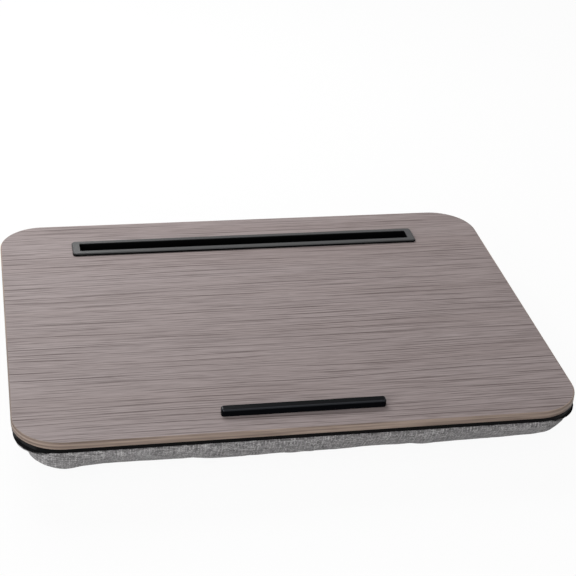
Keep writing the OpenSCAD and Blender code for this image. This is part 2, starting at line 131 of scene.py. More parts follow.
class Shade(Graph):
    # The nodes of one material or world
    def __init__(self, owner):
        owner.use_nodes = True
        super().__init__(owner.node_tree)
        self.owner = owner

    def split(self, vector):
        parts = self.node("ShaderNodeSeparateXYZ", inputs={0: vector})
        return [Wire(self, socket) for socket in parts.socket.node.outputs]

    def place(self):
        return self.split(self.node("ShaderNodeTexCoord", output="Object"))

    def facing(self):
        return self.split(self.node("ShaderNodeTexCoord", output="Normal"))

    def noise(self, x, y, z, detail=2.0, rough=0.5):
        spot = self.node("ShaderNodeCombineXYZ", inputs={0: x, 1: y, 2: z})
        return self.node("ShaderNodeTexNoise", {"noise_dimensions": "3D"},
                         {"Vector": spot, "Scale": 1.0, "Detail": detail, "Roughness": rough})

    def evenNoise(self, perMetre, detail, rough=0.5):
        x, y, z = self.place()
        return self.noise(x * perMetre, y * perMetre, z * perMetre, detail, rough)

    def specks(self, perMetre):
        return self.evenNoise(perMetre, 2.0, 0.6)

    def drift(self):
        # Slow changes over a hand's breadth
        return self.evenNoise(9.0, 3.0)

    def step(self, value, low, high):
        return self.node("ShaderNodeMapRange", {"interpolation_type": "SMOOTHSTEP"},
                         {"Value": value, "From Min": low, "From Max": high})

    def mixed(self, amount, first, second):
        return self.node("ShaderNodeMix", {"data_type": "FLOAT"}, {"Factor": amount, "A": first, "B": second})

    def colours(self, value, stops):
        return self.node("ShaderNodeValToRGB", {"stops": stops}, {"Fac": value})

    def blendColour(self, amount, first, second):
        # By number, because the Mix node has sockets named A and B for each kind of data
        inputs = {0: amount, 6: opaque(first), 7: opaque(second)}
        return self.node("ShaderNodeMix", {"data_type": "RGBA"}, inputs, output=2)

    def bump(self, height, depth):
        return self.node("ShaderNodeBump", inputs={"Height": height, "Distance": depth, "Strength": 1.0})

    def finish(self, colour, roughness, normal, **others):
        # The others are named after the shader's sockets
        inputs = {"Base Color": opaque(colour), "Roughness": roughness, "Normal": normal}
        inputs.update({key.replace("_", " "): value for key, value in others.items()})
        surface = self.node("ShaderNodeBsdfPrincipled", inputs=inputs)
        self.node("ShaderNodeOutputMaterial", inputs={"Surface": surface})
        return self.owner


def shadeFor(name):
    return Shade(bpy.data.materials.new(name))


# Broken lines along the grain, each in a lane of its own
lanes = {
    "wander": 1.1,
    "wanderSlow": 0.55,
    "wanderDetail": 0.5,
    "wanderJump": 5.13,  # far enough apart that neighbouring lanes differ
    "presentJump": 3.71,
    "presentSeed": 9.0,
    "present": (0.40, 0.60),
    "core": 0.35,
}


def brokenLines(shade, along, across, perMetre, width, length, seed):
    # Lines of even width that wander inside their own lanes and come and go along them
    lane = across * perMetre
    cell = shade.maths("FLOOR", lane)
    sway = shade.noise(along * (lanes["wanderSlow"] / length), cell * lanes["wanderJump"], seed,
                       lanes["wanderDetail"])
    apart = abs(lane - cell - 0.5 - (sway - 0.5) * lanes["wander"])
    line = 1.0 - shade.step(apart, width * perMetre * lanes["core"], width * perMetre)
    here = shade.noise(along / length, cell * lanes["presentJump"], seed + lanes["presentSeed"], 1.0)
    return line * shade.step(here, *lanes["present"])


# Wood grain along X: thin broken veins, finer hairs between them, fibres and broad tones.
# A noise has its scale along and across the grain, its seed, its detail and its roughness.
laminate = {
    "pale": (0.352, 0.299, 0.296),
    "mid": (0.334, 0.281, 0.276),
    "dark": (0.308, 0.255, 0.248),
    "vein": (0.070, 0.050, 0.047),
    "fibre": (0.160, 0.127, 0.122),
    "toneStops": (0.32, 0.5, 0.70),
    "toneNoise": (1.3, 24.0, 3.1, 3.0, 0.5),
    "swayNoise": (2.0, 5.0, 0.0, 1.0, 0.5),
    "swayReach": 0.014,
    "streakNoise": (13.0, 900.0, 7.7, 2.0, 0.6),
    "streakRange": (0.44, 0.66),
    "streakShare": 0.40,
    "fibreNoise": (45.0, 1100.0, 15.0, 2.0, 0.6),
    "fibreRange": (0.42, 0.66),
    "fibreShare": 0.40,
    "fibreDeep": 0.3,
    "fibreDull": 0.10,
    "hairs": {"perMetre": 300.0, "width": 0.00052, "length": 0.055, "seed": 2.0},
    "hairShare": 0.60,
    "hairDeep": 0.4,
    "veins": {"perMetre": 112.0, "width": 0.00062, "length": 0.105, "seed": 1.0},
    "veinShare": 0.80,
    "veinDeep": 0.8,
    "veinDull": 0.14,
    "depth": 0.0001,
    "roughness": 0.46,
    "shine": 0.10,
}


def laminateMaterial():
    shade = shadeFor("greyBrownLaminate")
    x, y = shade.place()[:2]

    def layer(name, across):
        perAlong, perAcross, seed, detail, rough = laminate[name]
        return shade.noise(x * perAlong, across * perAcross, seed, detail, rough)

    level = y + (layer("swayNoise", y) - 0.5) * laminate["swayReach"]
    vein = brokenLines(shade, x, level, **laminate["veins"])
    hair = brokenLines(shade, x, level, **laminate["hairs"])
    fibre = layer("fibreNoise", level)
    streaks = shade.step(layer("streakNoise", level), *laminate["streakRange"])
    fibres = shade.step(fibre, *laminate["fibreRange"])
    tones = (laminate["dark"], laminate["mid"], laminate["pale"])
    colour = shade.colours(layer("toneNoise", level), tuple(zip(laminate["toneStops"], tones)))
    for amount, share, stain in ((streaks, "streakShare", "fibre"), (fibres, "fibreShare", "fibre"),
                                 (hair, "hairShare", "vein"), (vein, "veinShare", "vein")):
        colour = shade.blendColour(amount * laminate[share], colour, laminate[stain])
    height = 1.0 - vein * laminate["veinDeep"] - hair * laminate["hairDeep"] - fibre * laminate["fibreDeep"]
    gloss = laminate["roughness"] + vein * laminate["veinDull"] + fibre * laminate["fibreDull"]
    return shade.finish(colour, gloss, shade.bump(height, laminate["depth"]),
                        Specular_IOR_Level=laminate["shine"])


# The edge band is browner than the top, with the same grain along the edge and painted shade darkening its
# foot
band = {
    "pale": (0.345, 0.268, 0.222),
    "dark": (0.150, 0.111, 0.091),
    "stops": (0.38, 0.58),
    "streakScale": (14.0, 3.0, 620.0),  # along the edge, round the corners and up
    "streakDetail": 3.0,
    "streakRough": 0.6,
    "streakShare": 0.6,
    "streakDull": 0.1,
    "toneScale": (5.0, 120.0),
    "toneSeed": 2.0,
    "toneShare": 0.4,
    "paintedFootShade": (0.0003, 0.0026),
    "paintedFootShadeShare": 0.45,
    "depth": 0.00008,
    "roughness": 0.46,
    "shine": 0.2,
}


def bandMaterial():
    shade = shadeFor("brownEdgeBand")
    x, y, z = shade.place()
    along, around, up = band["streakScale"]
    streak = shade.noise((x + y) * along, (x - y) * around, z * up,
                         band["streakDetail"], band["streakRough"])
    toneAlong, toneUp = band["toneScale"]
    tone = shade.noise((x + y) * toneAlong, band["toneSeed"], z * toneUp)
    lines = shade.colours(streak * band["streakShare"] + tone * band["toneShare"],
                          tuple(zip(band["stops"], (band["dark"], band["pale"]))))
    # Painted shade: the band is darker towards its bottom edge
    paintedFootShade = 1.0 - shade.step(z, *(boardLow.z + height for height in band["paintedFootShade"]))
    colour = shade.blendColour(paintedFootShade * band["paintedFootShadeShare"], lines, band["dark"])
    gloss = band["roughness"] + streak * band["streakDull"]
    return shade.finish(colour, gloss, shade.bump(streak, band["depth"]), Specular_IOR_Level=band["shine"])


# Plastic and rubber with a fine moulded texture, paler in places
moulded = {
    "paler": 1.5,
    "speckShare": 0.5,
    "driftShare": 0.5,
}
backing = {
    "colour": (0.011, 0.011, 0.0112),
    "roughness": (0.5, 0.7),
    "cells": 900.0,
    "depth": 0.00006,
    "shine": 0.06,
}
rubber = {
    "colour": (0.02, 0.02, 0.02),
    "roughness": (0.65, 0.85),
    "cells": 1200.0,
    "depth": 0.00004,
    "shine": 0.15,
}


def mouldedMaterial(name, colour, roughness, cells, depth, shine):
    shade = shadeFor(name)
    speck = shade.specks(cells)
    drift = shade.drift()
    tint = shade.blendColour(drift, colour, scaled(colour, moulded["paler"]))
    low, high = roughness
    gloss = low + (high - low) * (speck * moulded["speckShare"] + drift * moulded["driftShare"])
    return shade.finish(tint, gloss, shade.bump(speck, depth), Specular_IOR_Level=shine)


# The tray is darkest on its outer edge, and a shade greyer on top and in the well
tray = {
    "edge": (0.0040, 0.0040, 0.0042),
    "well": (0.0150, 0.0150, 0.0155),
    "edgeFrom": (0.2120, 0.1650),
    "edgeBlend": 0.002,
    "upright": (0.3, 0.8),
    "cells": 2200.0,
    "depth": 0.00004,
    "roughness": 0.38,
    "speckDull": 0.08,
    "driftDull": 0.06,
    "shine": 0.03,
}


def trayMaterial():
    shade = shadeFor("blackMouldedTray")
    x, y = shade.place()[:2]
    nz = shade.facing()[2]
    atSide, atEnd = (shade.step(abs(way), start, start + tray["edgeBlend"])
                     for way, start in zip((x, y), tray["edgeFrom"]))
    outside = shade.mixed(atSide, atEnd, 1.0)
    edge = outside * (1.0 - shade.step(abs(nz), *tray["upright"]))
    speck = shade.specks(tray["cells"])
    tint = shade.blendColour(edge, tray["well"], tray["edge"])
    gloss = tray["roughness"] + speck * tray["speckDull"] + shade.drift() * tray["driftDull"]
    return shade.finish(tint, gloss, shade.bump(speck, tray["depth"]), Specular_IOR_Level=tray["shine"])


# The slot's rim is polished on top and painted lighter there, a painted reflection; its sides and the trough
# are dull and deep black
slot = {
    # The rim colour is a painted reflection on the polished top
    "rim": (0.030, 0.030, 0.031),
    "deep": (0.0020, 0.0020, 0.0022),
    "polishAndPaintedReflection": (0.0014, 0.0021),  # heights above the board
    "cells": 1800.0,
    "depth": 0.00002,
    "roughness": 0.55,
    "polish": 0.25,
    "speckDull": 0.06,
    "coat": 0.50,
    "coatRoughness": 0.16,
    "shine": 0.03,
}


def slotMaterial():
    shade = shadeFor("slotPlastic")
    z = shade.place()[2]
    polishAndPaintedReflection = shade.step(z, *(boardHigh.z + height for height in slot["polishAndPaintedReflection"]))
    speck = shade.specks(slot["cells"])
    # Painted reflection: the polished top takes the lighter rim colour
    tint = shade.blendColour(polishAndPaintedReflection, slot["deep"], slot["rim"])
    gloss = slot["roughness"] - polishAndPaintedReflection * slot["polish"] + speck * slot["speckDull"]
    return shade.finish(tint, gloss, shade.bump(speck, slot["depth"]), Specular_IOR_Level=slot["shine"],
                        Coat_Weight=polishAndPaintedReflection * slot["coat"], Coat_Roughness=slot["coatRoughness"])


# The stop bar is satin black, and its rounded edges carry a painted bluish sheen and a glossy coat
bar = {
    "colour": (0.0030, 0.0034, 0.0044),
    "paintedSheen": (0.0080, 0.0095, 0.0130),
    "flat": (0.93, 0.99),
    "slanted": (0.10, 0.35),
    "cells": 1500.0,
    "depth": 0.00001,
    "roughness": 0.20,
    "speckDull": 0.10,
    "coat": 0.29,
    "coatRoughness": 0.12,
    "shine": 0.02,
}


def barMaterial():
    shade = shadeFor("satinBlackBar")
    up = abs(shade.facing()[2])
    edgeSheenAndCoat = (1.0 - shade.step(up, *bar["flat"])) * shade.step(up, *bar["slanted"])
    speck = shade.specks(bar["cells"])
    # Painted sheen: the rounded edges take a lighter, bluer colour
    tint = shade.blendColour(edgeSheenAndCoat, bar["colour"], bar["paintedSheen"])
    return shade.finish(tint, bar["roughness"] + speck * bar["speckDull"], shade.bump(speck, bar["depth"]),
                        Specular_IOR_Level=bar["shine"], Coat_Weight=edgeSheenAndCoat * bar["coat"],
                        Coat_Roughness=bar["coatRoughness"])


# Pressed wood chips, which show only where the board is cut
fibreboard = {
    "dark": (0.30, 0.20, 0.12),
    "pale": (0.52, 0.38, 0.25),
    "stops": (0.35, 0.65),
    "chips": (700.0, 1500.0, 3.0, 0.6),  # scale level and upright, detail, roughness
    "depth": 0.0001,
    "roughness": 0.8,
    "chipDull": 0.1,
}


def fibreboardMaterial():
    shade = shadeFor("fibreboardCore")
    x, y, z = shade.place()
    level, upright, detail, rough = fibreboard["chips"]
    chips = shade.noise(x * level, y * level, z * upright, detail, rough)
    tones = (fibreboard["dark"], fibreboard["pale"])
    colour = shade.colours(chips, tuple(zip(fibreboard["stops"], tones)))
    gloss = fibreboard["roughness"] + chips * fibreboard["chipDull"]
    return shade.finish(colour, gloss, shade.bump(chips, fibreboard["depth"]))


# Steel brushed along X, with faint darker spots
steel = {
    "brush": (60.0, 3000.0),
    "spots": 300.0,
    "spotShare": 0.5,
    "spotDark": 0.6,
    "brushDull": 0.15,
    "depth": 0.00002,
}


def steelMaterial(name, colour, roughness):
    shade = shadeFor(name)
    x, y, z = shade.place()
    along, across = steel["brush"]
    brushed = shade.noise(x * along, y * across, z * across)
    spots = shade.evenNoise(steel["spots"], 3.0)
    tint = shade.blendColour(spots * steel["spotShare"], colour, scaled(colour, steel["spotDark"]))
    return shade.finish(tint, roughness + brushed * steel["brushDull"], shade.bump(brushed, steel["depth"]),
                        Metallic=1.0)


# Woven cloth: two sets of yarns, each yarn with its own shade, over and under in turn
weave = {
    "yarnLength": 7.0,  # in pitches, before a yarn changes its shade
    "weftSeed": 5.0,
    "crossing": 0.25,
    "sideSeed": 20.0,
    "flatSeed": 40.0,
    "flat": (0.66, 0.80),
    "side": (0.60, 0.78),
    "slub": (260.0, 420.0, 2.0, 0.7),  # scale level and upright, detail, roughness
    "cloud": (28.0, 40.0, 3.0, 0.5),
    "shares": (0.60, 0.34, 0.06),  # of yarns, slubs and clouds
    "valley": (0.05, 0.45),
    "valleyPaintedShade": 0.35,
    "yarnHeight": 0.7,
    "slubHeight": 0.3,
    "sheenRoughness": 0.6,
}
greyCloth = {
    "stops": ((0.31, (0.058, 0.056, 0.058)), (0.48, (0.228, 0.219, 0.221)), (0.65, (0.585, 0.568, 0.572))),
    "pitch": 0.0013,
    "roughness": 0.92,
    "depth": 0.00035,
    "sheen": 0.15,
    "shine": 0.12,
}
blackCloth = {
    "stops": ((0.3, (0.002, 0.002, 0.0022)), (0.7, (0.010, 0.010, 0.011))),
    "pitch": 0.0009,
    "roughness": 0.9,
    "depth": 0.0002,
    "sheen": 0.02,
    "shine": 0.02,
}


def yarns(shade, a, b, pitch, seed):
    long = pitch * weave["yarnLength"]
    warp = shade.noise(a / pitch, b / long, seed, 1.0)
    weft = shade.noise(a / long, b / pitch, seed + weave["weftSeed"], 1.0)
    turnA, turnB = (shade.maths("SINE", way * (math.pi / pitch)) for way in (a, b))
    over = shade.step(turnA * turnB, -weave["crossing"], weave["crossing"])
    return shade.mixed(over, weft, warp), shade.mixed(over, abs(turnB), abs(turnA))


def wovenMaterial(name, stops, pitch, roughness, depth, sheen, shine):
    shade = shadeFor(name)
    x, y, z = shade.place()
    facing = shade.facing()
    flat = shade.step(abs(facing[2]), *weave["flat"])
    side = shade.step(abs(facing[0]), *weave["side"])
    planes = (yarns(shade, x, z, pitch, 0.0), yarns(shade, y, z, pitch, weave["sideSeed"]),
              yarns(shade, x, y, pitch, weave["flatSeed"]))
    tone, height = (shade.mixed(flat, shade.mixed(side, inFront, atSide), onTop)
                    for inFront, atSide, onTop in zip(*planes))
    slub, cloud = (shade.noise(x * level, y * level, z * upright, detail, rough)
                   for level, upright, detail, rough in (weave["slub"], weave["cloud"]))
    ofYarn, ofSlub, ofCloud = weave["shares"]
    base = shade.colours(tone * ofYarn + slub * ofSlub + cloud * ofCloud, stops)
    # Painted shade darkens the low valleys between the yarns
    valley = shade.step(height, *weave["valley"])
    colour = shade.blendColour(1.0 - valley, base, scaled(stops[0][1], weave["valleyPaintedShade"]))
    normal = shade.bump(height * weave["yarnHeight"] + slub * weave["slubHeight"], depth)
    return shade.finish(colour, roughness, normal, Sheen_Weight=sheen,
                        Sheen_Roughness=weave["sheenRoughness"], Specular_IOR_Level=shine)


zincSteel = steelMaterial("zincSteel", (0.62, 0.61, 0.58), 0.28)
darkSteel = steelMaterial("blackenedSteel", (0.09, 0.09, 0.10), 0.35)
greyWoven = wovenMaterial("greyMelangeCloth", **greyCloth)
blackWoven = wovenMaterial("blackPanelCloth", **blackCloth)
finishes = {
    "top_laminate": laminateMaterial(),
    "edge_band": bandMaterial(),
    "board_core": fibreboardMaterial(),
    "backing_sheet": mouldedMaterial("blackBackingSheet", **backing),
    "slot_insert": slotMaterial(),
    "storage_tray": trayMaterial(),
    "stop_bar": barMaterial(),
    "lid_bumpers": mouldedMaterial("bumperRubber", **rubber),
}
for part in ("lid_leaf", "tray_leaf", "hinge_pin"):
    for side in ("left", "right"):
        finishes[f"{part}_{side}"] = zincSteel
print("materials made")

for name, material in finishes.items():
    slots = nodes[name].data.materials
    slots.clear()
    slots.append(material)
print("frame dressed")


def addMesh(name, points, faces, material):
    mesh = bpy.data.meshes.new(name)
    mesh.from_pydata(points, [], faces)
    mesh.materials.append(material)
    mesh.validate()
    mesh.shade_smooth()
    piece = bpy.data.objects.new(name, mesh)
    scene.collection.objects.link(piece)
    return piece


def applyModifiers(piece):
    graph = bpy.context.evaluated_depsgraph_get()
    mesh = bpy.data.meshes.new_from_object(piece.evaluated_get(graph))
    piece.modifiers.clear()
    old = piece.data
    piece.data = mesh
    bpy.data.meshes.remove(old)


def outline(halfX, halfY, radius, arcSteps, sideSteps, full=0.0, pull=0.0, centreY=0.0):
    # Points round a rounded rectangle, each with the angle of its normal. Full corners
    # push out, and pulled sides push in. sideSteps is for the long and the short sides.
    signs = ((1, 1), (-1, 1), (-1, -1), (1, -1))
    ring = []
    for corner in range(4):
        cx = signs[corner][0] * (halfX - radius)
        cy = signs[corner][1] * (halfY - radius)
        nextX = signs[(corner + 1) % 4][0] * (halfX - radius)
        nextY = signs[(corner + 1) % 4][1] * (halfY - radius)
        for j in range(arcSteps + 1):
            part = j / arcSteps
            angle = math.radians(90 * (corner + part))
            reach = radius + full * math.sin(math.pi * part) ** 2
            ring.append((cx + reach * math.cos(angle), cy + reach * math.sin(angle) + centreY, angle))
        angle = math.radians(90 * (corner + 1))
        steps = sideSteps[corner % 2]
        for j in range(1, steps):
            part = j / steps
            reach = radius - pull * 4 * part * (1 - part)
            ring.append((cx + (nextX - cx) * part + reach * math.cos(angle),
                         cy + (nextY - cy) * part + reach * math.sin(angle) + centreY, angle))
    return ring


def loft(rings, capped=False):
    # Quads between rings of equal length, and a face over each end of a capped one
    count = len(rings[0])
    points = [point for ring in rings for point in ring]
    faces = []
    for k in range(len(rings) - 1):
        for i in range(count):
            j = (i + 1) % count
            faces.append((k * count + i, k * count + j, (k + 1) * count + j, (k + 1) * count + i))
    if capped:
        faces.append(tuple(reversed(range(count))))
        faces.append(tuple(range(len(points) - count, len(points))))
    return points, faces


def closeUp(piece):
    # Merges doubles, fills open ends and turns every face outwards
    shape = bmesh.new()
    shape.from_mesh(piece.data)
    bmesh.ops.remove_doubles(shape, verts=shape.verts, dist=1e-6)
    bmesh.ops.holes_fill(shape, edges=shape.edges, sides=0)
    bmesh.ops.recalc_face_normals(shape, faces=shape.faces)
    if shape.calc_volume(signed=True) < 0:
        bmesh.ops.reverse_faces(shape, faces=shape.faces)
    shape.to_mesh(piece.data)
    shape.free()


def smooth(value, low, high):
    share = max(0.0, min(1.0, (value - low) / (high - low)))
    return share * share * (3 - 2 * share)


def readVectors(mesh, key):
    flat = np.empty(len(mesh.vertices) * 3)
    mesh.vertices.foreach_get(key, flat)
    return flat.reshape(-1, 3)


# The grey cushion: drawn-in sides, tight corners and a pocket for the tray's well. It is
# pressed out as cloth from a slightly smaller shape, with its top held at the seam.
cushion = {
    "shrink": 0.0008,
    "shrinkRate": 5,
    "drawFront": 0.044,
    "drawSide": 0.026,
    "power": 1.35,
    "cornerFull": 0.0015,
    "sidePull": 0.0005,
    "topRadius": 0.0335,
    "cornerShrink": 0.0165,
    "levels": 15,
    "arcSteps": 14,
    "sideSteps": (104, 78),
    "bottomRings": (0.006, 0.013, 0.021, 0.031, 0.045, 0.065, 0.090, 0.115, 0.135),
    "bottomReach": 0.15,
    "freeRings": 2,
    "lipHigh": 0.0026,
    "lipLow": -0.0004,
    "lipTurn": (0.93, 0.99),
    "lipRound": 0.0004,
    "mouthGap": 0.0003,
    "mouthRadius": 0.0297,
    "mouthDrop": 0.0006,
    "seamDrop": 0.0016,
    "pocketHalf": (0.1901, 0.1421),
    "pocketRadius": 0.0241,
    "pocketY": 0.003,
    "pocketLean": 0.0025,
    "pocketFloor": 0.0212,
}


def drawn(share):
    return 1 - (1 - min(share, 1) ** cushion["power"]) ** (1 / cushion["power"])


def lip(angle):
    # The cloth rises in front to the tray's rim and stays lower everywhere else
    share = smooth(-math.sin(angle), *cushion["lipTurn"])
    return cushion["lipLow"] + (cushion["lipHigh"] - cushion["lipLow"]) * share


def cushionRings():
    # Rings from the pocket's floor over the lip and down the sides to the middle of the
    # bottom. Each comes with 1 where the cloth is held still and 0 where it is free.
    top, arcs, sides = panelLow.z, cushion["arcSteps"], cushion["sideSteps"]
    wide, deep = coverHigh.x, -coverLow.y
    centreY = (panelHigh.y + panelLow.y) / 2
    halfX, halfY = cushion["pocketHalf"]
    lean, radius = cushion["pocketLean"], cushion["pocketRadius"]
    gap, drop, tuck = cushion["mouthGap"], cushion["mouthDrop"], cushion["lipRound"]
    rings, held = [], []

    def add(ring, height, hold):
        rings.append([(x, y, height(angle)) for x, y, angle in ring])
        held.append(hold)

    floor = outline(halfX - lean, halfY - lean, radius - lean, arcs, sides, centreY=cushion["pocketY"])
    pocket = outline(halfX, halfY, radius, arcs, sides, centreY=cushion["pocketY"])
    mouth = outline(panelHigh.x + gap, panelHigh.y - centreY + gap, cushion["mouthRadius"], arcs, sides,
                    centreY=centreY)
    rim = outline(wide, deep, cushion["topRadius"], arcs, sides)
    crest = [((a[0] + b[0]) / 2, (a[1] + b[1]) / 2, a[2]) for a, b in zip(mouth, rim)]
    add(floor, lambda angle: cushion["pocketFloor"], 1)
    add(pocket, lambda angle: top - drop, 1)
    add(mouth, lambda angle: top - drop, 1)
    add(mouth, lambda angle: top + lip(angle) - tuck, 1)
    add(crest, lambda angle: top + lip(angle), 1)
    add(rim, lambda angle: top + lip(angle) - tuck, 1)
    shrink = cushion["shrink"]
    for k in range(cushion["levels"] + 1):
        share = math.sin(math.pi / 2 * k / cushion["levels"])
        draw = drawn(share)
        swell = math.sin(math.pi * share)
        inward = shrink * min(1.0, share * cushion["shrinkRate"])
        ring = outline(wide - inward - cushion["drawSide"] * draw, deep - inward - cushion["drawFront"] * draw,
                       cushion["topRadius"] - inward - cushion["cornerShrink"] * draw, arcs, sides,
                       cushion["cornerFull"] * swell, cushion["sidePull"] * swell)
        add(ring, lambda angle: (top - cushion["seamDrop"]) * (1 - share) + shrink * share, 1 if k == 0 else 0)
    edge = ring
    for k, inward in enumerate(cushion["bottomRings"]):
        part = inward / cushion["bottomReach"]
        ring = [(x * (1 - part), y * (1 - part), angle) for x, y, angle in edge]
        add(ring, lambda angle: shrink, 0 if k < cushion["freeRings"] else 1)
    return rings, held


# Blender's cloth with pressure and no gravity. The settings have Blender's own names.
press = {
    "frames": 20,
    "cap": 0.0045,
    "settings": {
        "quality": 5,
        "mass": 0.25,
        "tension_stiffness": 12,
        "compression_stiffness": 12,
        "shear_stiffness": 4,
        "bending_stiffness": 0.35,
        "use_pressure": True,
        "uniform_pressure_force": 4.0,
        "shrink_min": -0.004,
    },
}


def pressOut(piece, held):
    # A point moves at most by the cap
    group = piece.vertex_groups.new(name="held")
    group.add([i for i, hold in enumerate(held) if hold], 1.0, "REPLACE")
    cloth = piece.modifiers.new("pressedOut", "CLOTH")
    for key, value in press["settings"].items():
        setattr(cloth.settings, key, value)
    cloth.settings.vertex_group_mass = "held"
    cloth.settings.effector_weights.gravity = 0
    cloth.collision_settings.use_collision = False
    cloth.point_cache.frame_end = press["frames"]
    before = readVectors(piece.data, "co")
    for frameNumber in range(1, press["frames"] + 1):
        scene.frame_set(frameNumber)
    applyModifiers(piece)
    scene.frame_set(1)
    move = readVectors(piece.data, "co") - before
    length = np.linalg.norm(move, axis=1)
    capped = press["cap"] * np.tanh(length / press["cap"])
    move *= (capped / np.maximum(length, 1e-9))[:, None]
    settled = before + move
    settled[:, 2] = np.maximum(settled[:, 2], 0.0)
    piece.data.vertices.foreach_set("co", settled.ravel())
    piece.vertex_groups.clear()


# Small forms of the sewn cloth. A pair is where a change starts and ends: in metres from
# the middle, as a share of the way down from the seam, or of a normal's length.
sewing = {
    "seamDepth": 0.0014,
    "pocket": (0.192, 0.144, 0.015),  # half width, half depth and lowest height
    "edge": (0.02, 0.4),
    "cornerX": (0.165, 0.195),
    "cornerY": (0.115, 0.15),
    "gather": 0.0005,
    "cornerGather": 0.0009,
    "foldScale": (130, 14),
    "fineScale": (280, 30),
    "fineShare": 0.4,
    "foldsIn": (0.0, 0.12),
    "foldsOut": (0.25, 0.85),
    "lump": 0.0010,
    "lumpScale": (17, 20),
    "lumpsIn": (0.05, 0.4),
    "frontFrom": -0.1,
    "frontHalf": 0.21,
    "fullIn": (0.1, 0.6),
    "cornerIn": {-1: (0.0052, 0.30), 1: (0.0026, -0.80)},  # amount, and share left at the bottom
    "alongSide": (0.0, 0.12),
    "pullIn": (-0.10, 0.16),
    "pullChange": (0.2, 0.7),
}

# Places along the front where the real cushion is fuller or thinner: x, width, amount
frontFullness = ((-0.184, 0.018, 0.0036), (-0.122, 0.034, -0.0016), (-0.064, 0.032, 0.0026),
                 (0.004, 0.030, 0.0024), (0.055, 0.018, -0.0012), (0.092, 0.015, 0.0018),
                 (0.130, 0.020, -0.0006), (0.180, 0.014, -0.0014))


def gathers(x, y, z, down):
    # Folds below the seam, stronger at the corners
    corner = smooth(abs(x), *sewing["cornerX"]) * smooth(abs(y), *sewing["cornerY"])
    strength = sewing["gather"] + (sewing["cornerGather"] - sewing["gather"]) * corner
    level, upright = sewing["foldScale"]
    fineLevel, fineUpright = sewing["fineScale"]
    fold = noise.noise((x * level, y * level, z * upright + 3.0))
    fine = noise.noise((x * fineLevel, y * fineLevel, z * fineUpright))
    fade = smooth(down, *sewing["foldsIn"]) * (1 - smooth(down, *sewing["foldsOut"]))
    return strength * (fold + sewing["fineShare"] * fine) * fade


def lumps(x, y, z, down):
    # Soft lumps of filling
    level, upright = sewing["lumpScale"]
    soft = noise.noise((x * level + 5.0, y * level, z * upright))
    return sewing["lump"] * soft * smooth(down, *sewing["lumpsIn"])


def frontForm(x, y, down):
    if y >= sewing["frontFrom"] or abs(x) >= sewing["frontHalf"]:
        return 0
    full = sum(amount * math.exp(-((x - place) / width) ** 2) for place, width, amount in frontFullness)
    return full * smooth(down, *sewing["fullIn"])


def cornerPull(x, y, down, sideways):
    # The front corners are drawn in, the left one more than the right
    if y >= 0:
        return 0
    pull, atBottom = sewing["cornerIn"][-1 if x < 0 else 1]
    near = smooth(abs(x), *sewing["cornerX"]) * smooth(-y, *sewing["alongSide"]) * sideways
    change = 1 + (atBottom - 1) * smooth(down, *sewing["pullChange"])
    return pull * near * smooth(down, *sewing["pullIn"]) * change


def sculptCushion(piece):
    mesh = piece.data
    points = readVectors(mesh, "co")
    normals = readVectors(mesh, "normal")
    top = panelLow.z
    halfX, halfY, lowest = sewing["pocket"]
    for i, (x, y, z) in enumerate(points):
        atSeam = z > top - sewing["seamDepth"]
        inPocket = abs(x) < halfX and abs(y - cushion["pocketY"]) < halfY and z > lowest
        if inPocket or (atSeam and y > 0):
            continue
        down = (top - z) / top
        edge = smooth(1 - abs(normals[i][2]), *sewing["edge"])
        out = frontForm(x, y, down) * edge - cornerPull(x, y, down, abs(normals[i][0]))
        if not atSeam:
            out += gathers(x, y, z, down) + lumps(x, y, z, down) * edge
        points[i] += normals[i] * out
        points[i][2] = max(points[i][2], 0.0)
    mesh.vertices.foreach_set("co", points.ravel())
    mesh.update()


def makeCushion():
    rings, held = cushionRings()
    rings.reverse()
    held.reverse()
    piece = addMesh("greyCushion", *loft(rings), greyWoven)
    pressOut(piece, [hold for ring, hold in zip(rings, held) for point in ring])
    finer = piece.modifiers.new("finer", "SUBSURF")
    finer.levels = finer.render_levels = 1
    applyModifiers(piece)
    sculptCushion(piece)
    closeUp(piece)  # only now, as end faces with many sides slow the subdivision down
    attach(piece, "base")
    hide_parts("cushion_cover", "cushion_filling")


makeCushion()
print("cushion made")

# The padded black panel on the cushion, which the tray's rim rests on. Its edge shows at
# the corners and the sides, and stays back at front and rear.
panel = {
    "slack": 0.00005,
    "reachOut": 0.0025,
    "reachFrom": (-0.93, -0.80),  # sines of the edge's direction
    "reachTo": (0.3, 0.9),
    "roundSteps": 8,
    "arcSteps": 14,
    "sideSteps": (56, 42),
    "radius": 0.0294,
    "openingGrow": 0.0003,
    "gather": 0.00035,
    "gatherScale": 130,
}

# Room in the panel for the thick pads that take the hinge screws
padRoom = {
    "centreX": 0.100,
    "halfLength": 0.0273,
    "front": 0.1529,
    "rear": 0.1671,
    "over": 0.002,
}


def panelReach(angle):
    turn = math.sin(angle)
    return panel["reachOut"] * smooth(turn, *panel["reachFrom"]) * (1 - smooth(turn, *panel["reachTo"]))


def padBox(side):
    lowX, highX = (side * padRoom["centreX"] + way * padRoom["halfLength"] for way in (-1, 1))
    front, rear = padRoom["front"], padRoom["rear"]
    base = ((lowX, front), (highX, front), (highX, rear), (lowX, rear))
    heights = (panelLow.z - padRoom["over"], panelHigh.z + padRoom["over"])
    return loft([[(x, y, z) for x, y in base] for z in heights], capped=True)


